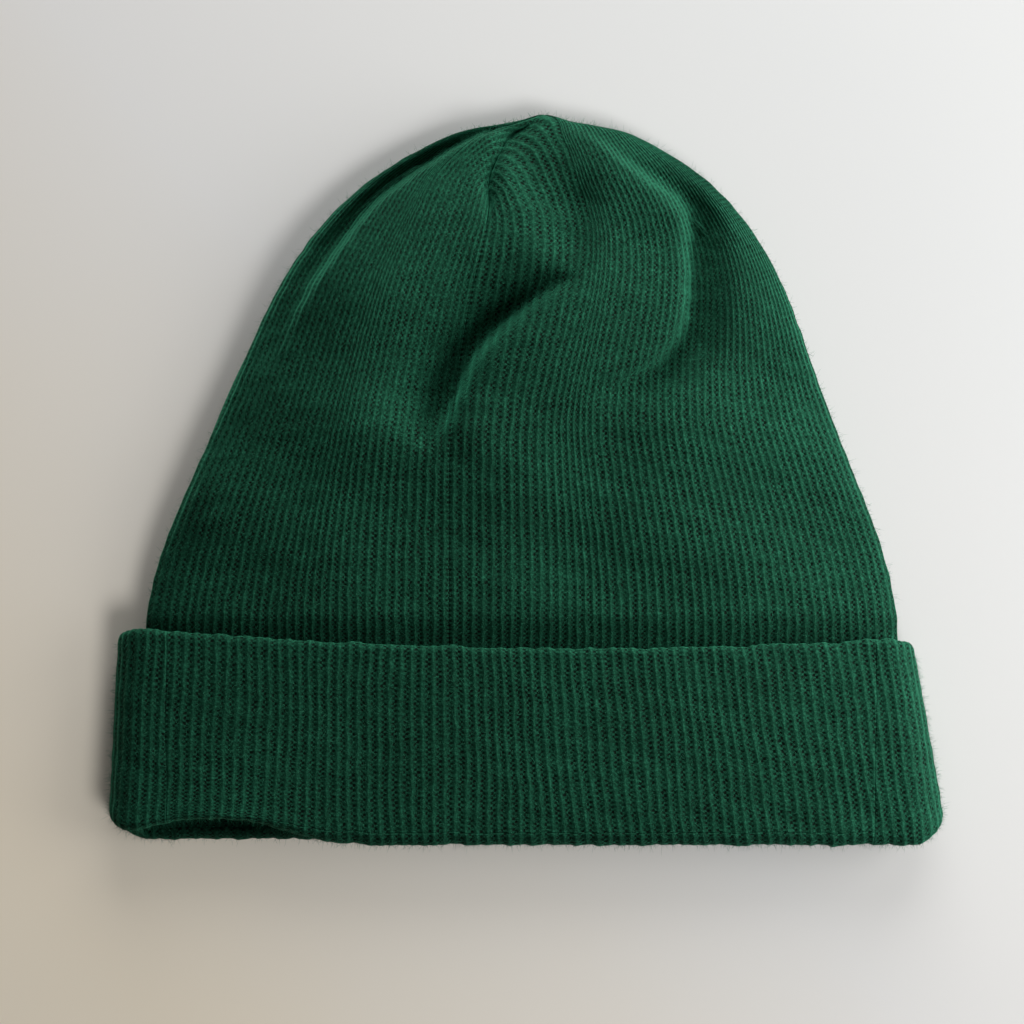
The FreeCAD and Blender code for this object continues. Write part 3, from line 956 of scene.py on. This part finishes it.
class Nodes:
    """Builds a node tree from short calls; a number or a socket fits any input."""

    def __init__(self, name):
        self.material = bpy.data.materials.new(name)
        self.material.use_nodes = True
        self.tree = self.material.node_tree
        self.tree.nodes.clear()

    def add(self, kind, inputs=None, **settings):
        node = self.tree.nodes.new(kind)
        for key, value in settings.items():
            setattr(node, key, value)
        for key, value in (inputs or {}).items():
            self.put(node.inputs[key], value)
        return node

    def put(self, socket, value):
        if isinstance(value, bpy.types.NodeSocket):
            self.tree.links.new(value, socket)
        else:
            socket.default_value = value

    def math(self, operation, *values):
        node = self.add("ShaderNodeMath", operation=operation)
        for socket, value in zip(node.inputs, values):
            self.put(socket, value)
        return node.outputs[0]

    def attribute(self, name):
        return self.add("ShaderNodeAttribute", attribute_name=name).outputs["Fac"]

    def place(self):
        return self.add("ShaderNodeTexCoord").outputs["Object"]

    def noise(self, place, size_mm, detail=2.0, roughness=0.5):
        """Unevenness about zero, whose largest features are about size_mm across."""
        scale = MM_PER_M / size_mm
        inputs = {"Vector": place, "Scale": scale, "Detail": detail, "Roughness": roughness}
        value = self.add("ShaderNodeTexNoise", inputs).outputs["Fac"]
        return self.math("SUBTRACT", value, 0.5)

    def step(self, value, low, high):
        inputs = {"Value": value, "From Min": low, "From Max": high}
        return self.add("ShaderNodeMapRange", inputs, interpolation_type="SMOOTHSTEP").outputs[0]

    def wave(self, value):
        """1 at whole numbers and 0 at half ones."""
        cosine = self.math("COSINE", self.math("MULTIPLY", value, 2 * math.pi))
        return self.between(cosine, 0.5, 1.0)

    def between(self, value, low, high):
        """low where the value is 0 and high where it is 1."""
        return self.math("MULTIPLY_ADD", value, high - low, low)

    def random(self, a, b):
        """An even random number for each pair."""
        vector = self.add("ShaderNodeCombineXYZ", {"X": a, "Y": b}).outputs[0]
        noise = self.add("ShaderNodeTexWhiteNoise", {"Vector": vector}, noise_dimensions="2D")
        return noise.outputs["Value"]

    def total(self, *terms):
        """The sum of the terms, each a value or a (value, factor) pair."""
        result = 0.0
        for term in terms:
            value, factor = term if isinstance(term, tuple) else (term, 1.0)
            result = self.math("MULTIPLY_ADD", value, factor, result)
        return result

    def ramp(self, value, stops):
        node = self.add("ShaderNodeValToRGB", {"Fac": value})
        ramp = node.color_ramp
        while len(ramp.elements) < len(stops):
            ramp.elements.new(0.5)
        for element, (place, colour) in zip(ramp.elements, stops):
            element.position = place
            element.color = tuple(colour) + (1.0,)
        return node.outputs["Color"]

    def finish(self, **inputs):
        inputs = {key.replace("_", " "): value for key, value in inputs.items()}
        shader = self.add("ShaderNodeBsdfPrincipled", inputs)
        out = self.add("ShaderNodeOutputMaterial")
        self.put(out.inputs["Surface"], shader.outputs[0])
        return self.material

    def bump(self, height, strength, distance_mm):
        inputs = {"Height": height, "Strength": strength, "Distance": distance_mm / MM_PER_M}
        return self.add("ShaderNodeBump", inputs).outputs["Normal"]


# The ramp's dark end shows in the pits' painted shade and its light end in the crests' painted
# highlight, as well as in the yarn's random tone
DARK_YARN_AND_PIT_SHADE = (0.0004, 0.0055, 0.0028)
YARN = (0.0040, 0.0520, 0.0270)
LIGHT_YARN_AND_CREST_HIGHLIGHT = (0.0240, 0.1750, 0.0980)
YARN_RAMP = [(0.0, DARK_YARN_AND_PIT_SHADE), (0.45, YARN), (1.0, LIGHT_YARN_AND_CREST_HIGHLIGHT)]
FUZZ_COLOUR = (0.020, 0.130, 0.072, 1.0)
SHEEN = (0.07, 0.55, 0.31, 1.0)

RIB_DRIFT, RIB_JITTER = 0.50, 0.26  # how the pattern strays, in ribs
COURSE_DRIFT, COURSE_JITTER = -0.6, 0.35  # and in courses
STRAND_EDGE, GROOVE_EDGE = (0.02, 0.19), (0.17, 0.38)  # where they fade, in ribs from a crest
PIT_EDGE = (0.15, 0.85)  # where a rung turns into a pit, as shares of the rung's wave
LEG_LEAN = 1.2  # courses per rib
PIT_RANGE, LEG_RANGE, STITCH_RANGE = (0.35, 1.15), (0.3, 0.8), (0.5, 1.4)
STITCH_SALT = 7.5  # keeps the stitches' random numbers apart from the pits'
CLARITY, CLARITY_CHANGE = 0.9, 2.4  # how strongly the pattern shows through the fibres
# Painted light in the knit's tone: a highlight on the rib crests and rungs, and shade in the pits
CREST_HIGHLIGHT_TONE, PIT_SHADE_TONE, RUNG_HIGHLIGHT_TONE = 0.22, -0.58, 0.08
FIBRE_TONE, SPECK_TONE, PATCH_TONE, MEAN_TONE = 0.50, 0.70, 0.22, 0.43
STRAND_HEIGHT, PIT_HEIGHT, FIBRE_HEIGHT = 0.4, -0.9, 0.8


def stitches(n, place):
    """The pattern's strand and pit masks, and the tone they paint together: a painted highlight on
    the strands at the ribs' crests and on the rungs, and painted shade in the pits.
    """
    drift, jitter = n.noise(place, size_mm=6.0), n.noise(place, size_mm=0.8, detail=1.0)
    rib = n.total(n.attribute("rib"), (drift, RIB_DRIFT), (jitter, RIB_JITTER))
    course = n.total(n.attribute("course"), (drift, COURSE_DRIFT), (jitter, COURSE_JITTER))
    wale = n.math("FLOOR", rib)
    across = n.math("ABSOLUTE", n.math("SUBTRACT", n.math("FRACT", rib), 0.5))
    strand = n.math("SUBTRACT", 1.0, n.step(across, *STRAND_EDGE))
    groove = n.step(across, *GROOVE_EDGE)
    rung_course = n.math("MULTIPLY_ADD", wale, RUNG_SHIFT, course)
    rungs = n.wave(rung_course)
    cell = n.random(wale, n.math("FLOOR", rung_course))
    stitch = n.random(n.math("ADD", wale, STITCH_SALT), n.math("FLOOR", course))
    legs = n.wave(n.math("MULTIPLY_ADD", across, LEG_LEAN, course))
    pit = n.math("MULTIPLY", groove, n.math("SUBTRACT", 1.0, n.step(rungs, *PIT_EDGE)))
    pit = n.math("MULTIPLY", pit, n.between(cell, *PIT_RANGE))
    lit = n.math("MULTIPLY", strand, n.between(legs, *LEG_RANGE))
    lit = n.math("MULTIPLY", lit, n.between(stitch, *STITCH_RANGE))
    rung = n.math("MULTIPLY", groove, rungs)
    return strand, pit, n.total((lit, CREST_HIGHLIGHT_TONE), (pit, PIT_SHADE_TONE), (rung, RUNG_HIGHLIGHT_TONE))


def knit_material():
    """Brushed green yarn in rib knit. Each rib's crest shows as a narrow strand with a painted
    highlight, with a ladder of rungs and pits of painted shade between two strands, all blurred by
    loose fibres."""
    n = Nodes("green_rib_knit")
    place = n.place()
    strand, pit, painted_relief_tone = stitches(n, place)
    shown = n.noise(place, size_mm=5.0, detail=3.0)
    shown = n.math("MULTIPLY_ADD", shown, CLARITY_CHANGE, CLARITY)
    fibre = n.noise(place, size_mm=0.45, detail=3.0, roughness=0.65)
    speck = n.noise(place, size_mm=0.9, roughness=0.6)
    patch = n.noise(place, size_mm=22.0)
    tone = n.total(
        n.math("MULTIPLY", painted_relief_tone, shown), (fibre, FIBRE_TONE), (speck, SPECK_TONE),
        (patch, PATCH_TONE), MEAN_TONE,
    )
    height = n.total((strand, STRAND_HEIGHT), (pit, PIT_HEIGHT), (fibre, FIBRE_HEIGHT))
    return n.finish(
        Base_Color=n.ramp(tone, YARN_RAMP),
        Roughness=n.math("MULTIPLY_ADD", fibre, 0.2, 0.9),
        Specular_IOR_Level=0.12,
        Sheen_Weight=0.55,
        Sheen_Roughness=0.35,
        Sheen_Tint=SHEEN,
        Normal=n.bump(height, strength=0.6, distance_mm=0.4),
    )


def fuzz_material():
    return Nodes("green_fuzz").finish(
        Base_Color=FUZZ_COLOUR,
        Roughness=0.85,
        Specular_IOR_Level=0.2,
        Sheen_Weight=0.4,
        Sheen_Tint=SHEEN,
    )


def thread_material():
    """Twisted overlock thread of the hidden seams."""
    n = Nodes("green_thread")
    place = n.place()
    twist = n.add("ShaderNodeTexWave", {"Vector": place, "Scale": 420.0, "Distortion": 1.5})
    strands = n.noise(place, size_mm=0.6, detail=3.0, roughness=0.6)
    tone = n.total((twist.outputs["Fac"], 0.4), (strands, 0.6), 0.35)
    return n.finish(
        Base_Color=n.ramp(tone, YARN_RAMP),
        Roughness=n.math("MULTIPLY_ADD", strands, 0.2, 0.7),
        Sheen_Weight=0.15,
        Normal=n.bump(tone, strength=0.8, distance_mm=0.3),
    )


# --- Stage, light and camera ---

FLOOR_SIZE = 6.0
# The ramp runs from grey to warm and the tone climbs towards the lower left: painted warm light on
# the table
FLOOR_RAMP = [(0.0, (0.70, 0.71, 0.71)), (0.5, (0.755, 0.75, 0.74)), (1.0, (0.80, 0.72, 0.59))]
WARM_LIGHT_SLOPE, BLOTCH_TONE, FLOOR_TONE = (-2.4, -2.0), 0.10, 0.45  # slope: per metre, in x and y
DAYLIGHT = (1.0, 0.99, 0.975)
SKY, SKY_STRENGTH = (0.95, 0.97, 1.0, 1.0), 0.09
# Lamps: name, place and size in metres, power in watts. Two low windows, behind the hat and on
# its right, rake the knit. The table is lit from higher up, so that its shadows are soft.
KNIT_LAMPS = [
    ("back_window", (0.075, 0.56, 0.21), 0.45, 4.2),
    ("right_window", (0.39, 0.01, 0.165), 0.32, 2.5),
]
TABLE_LAMPS = [
    ("high_back_window", (0.10, 0.52, 0.28), 0.60, 2.65),
    ("high_right_window", (0.38, -0.02, 0.25), 0.40, 1.05),
    ("ceiling", (0.45, -0.5, 1.2), 0.50, 7.0),
]


def floor_material():
    """Matt pale table, with painted warm light that grows towards the lower left."""
    n = Nodes("matt_white_table")
    place = n.place()
    x, y, _ = n.add("ShaderNodeSeparateXYZ", {"Vector": place}).outputs
    blotches = n.noise(place, size_mm=70, detail=3.0)
    tone = n.total((x, WARM_LIGHT_SLOPE[0]), (y, WARM_LIGHT_SLOPE[1]), (blotches, BLOTCH_TONE), FLOOR_TONE)
    return n.finish(
        Base_Color=n.ramp(tone, FLOOR_RAMP),
        Roughness=n.math("MULTIPLY_ADD", tone, 0.1, 0.7),
    )


def stage():
    bpy.ops.mesh.primitive_plane_add(size=FLOOR_SIZE, location=(0, 0, 0))
    floor = bpy.context.object
    floor.name = "floor"
    floor.data.materials.append(floor_material())
    return floor


def area_light(name, place, size, power, receivers):
    """A round light aimed at the hat, that shines on the receivers only."""
    light = bpy.data.lights.new(name, "AREA")
    light.shape = "DISK"
    light.size = size
    light.energy = power
    light.color = DAYLIGHT
    lamp = bpy.data.objects.new(name, light)
    bpy.context.scene.collection.objects.link(lamp)
    lamp.location = place
    lamp.rotation_euler = (-lamp.location).to_track_quat("-Z", "Y").to_euler()
    lamp.visible_camera = False
    lamp.light_linking.receiver_collection = receivers


def lights(floor, hat):
    """Lamps for the knit, others for the table, and a faint sky."""
    groups = (("lit_knit", hat, KNIT_LAMPS), ("lit_table", [floor], TABLE_LAMPS))
    for name, members, lamps in groups:
        receivers = bpy.data.collections.new(name)
        for member in members:
            receivers.objects.link(member)
        for lamp in lamps:
            area_light(*lamp, receivers)
    world = bpy.data.worlds.new("room")
    bpy.context.scene.world = world
    world.use_nodes = True
    background = world.node_tree.nodes["Background"]
    background.inputs["Color"].default_value = SKY
    background.inputs["Strength"].default_value = SKY_STRENGTH


VIEW_WIDTH = 0.2867  # of the table that the camera sees
SENSOR_MM, LENS_MM = 36.0, 85.0
VIEW_CENTRE = (-0.0025, -0.0095)
VIEW_PLANE = 0.012  # height at which that width is measured


def camera():
    data = bpy.data.cameras.new("camera")
    data.sensor_width = SENSOR_MM
    data.lens = LENS_MM
    eye = bpy.data.objects.new("camera", data)
    bpy.context.scene.collection.objects.link(eye)
    eye.location = VIEW_CENTRE + (VIEW_WIDTH / SENSOR_MM * LENS_MM + VIEW_PLANE,)
    bpy.context.scene.camera = eye


def dress(material, *pieces):
    for piece in pieces:
        piece.data.materials.clear()
        piece.data.materials.append(material)


# --- The hat ---

SIDE_OUTSIDE = 0.6  # the share of a side bend's rows that lie outside


def cuff():
    """All of the cuff's pieces, and their fuzz."""
    knit_pieces, fuzz_pieces = [], []
    for number, side in enumerate(("front", "rear")):
        panel, panel_points = cuff_panel(side)
        fold, fold_points = cuff_fold(side)
        outside = panel_points[:, :panel_points.shape[1] // 2]
        panel_fuzz = fuzz(f"{side}_cuff_fuzz", [outside], PANEL_FIBRES[side], PANEL_SEED + number)
        ride_panel(panel_fuzz, side)
        outside = fold_points[:, :FOLD_ROWS[side]]
        fold_fuzz = fuzz(f"{side}_fold_fuzz", [outside], FOLD_FIBRES[side], FOLD_SEED + number)
        bend_fold(fold_fuzz)
        knit_pieces += [panel, fold]
        fuzz_pieces += [panel_fuzz, fold_fuzz]
    for number, side in enumerate(("left", "right")):
        bend, points = cuff_side(side)
        outside = points[:, :int(points.shape[1] * SIDE_OUTSIDE)]
        bend_fuzz = fuzz(f"{side}_side_fuzz", [outside], SIDE_FIBRES, SIDE_SEED + number)
        ride_side(bend_fuzz)
        knit_pieces.append(bend)
        fuzz_pieces.append(bend_fuzz)
    return knit_pieces, fuzz_pieces


def crown():
    """All of the body's pieces, and the crown's fuzz."""
    knit_pieces, fuzz_pieces = [], []
    made = body()
    for _, upper, under in made:
        knit_pieces += [upper[0], under[0]]
    for number, (side, count) in enumerate(CROWN_FIBRES.items()):
        grids = [upper[1] for place, upper, _ in made if place == side]
        piece = fuzz(f"crown_{side}_fuzz", grids, count, CROWN_SEED + number)
        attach(piece, "hat")
        fuzz_pieces.append(piece)
    return knit_pieces, fuzz_pieces


cuff_knit, cuff_fuzz = cuff()
crown_knit, crown_fuzz = crown()
knit_pieces = cuff_knit + crown_knit + [lining()]
fuzz_pieces = cuff_fuzz + crown_fuzz
dress(knit_material(), *knit_pieces)
dress(fuzz_material(), *fuzz_pieces)

thread = thread_material()
cords = [seam_cord(name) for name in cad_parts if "seam" in name]
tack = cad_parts["crown_tack"]
dress(thread, tack, *cords)

lights(stage(), knit_pieces + fuzz_pieces + cords + [tack])
camera()
bpy.context.scene.view_settings.view_transform = "Standard"
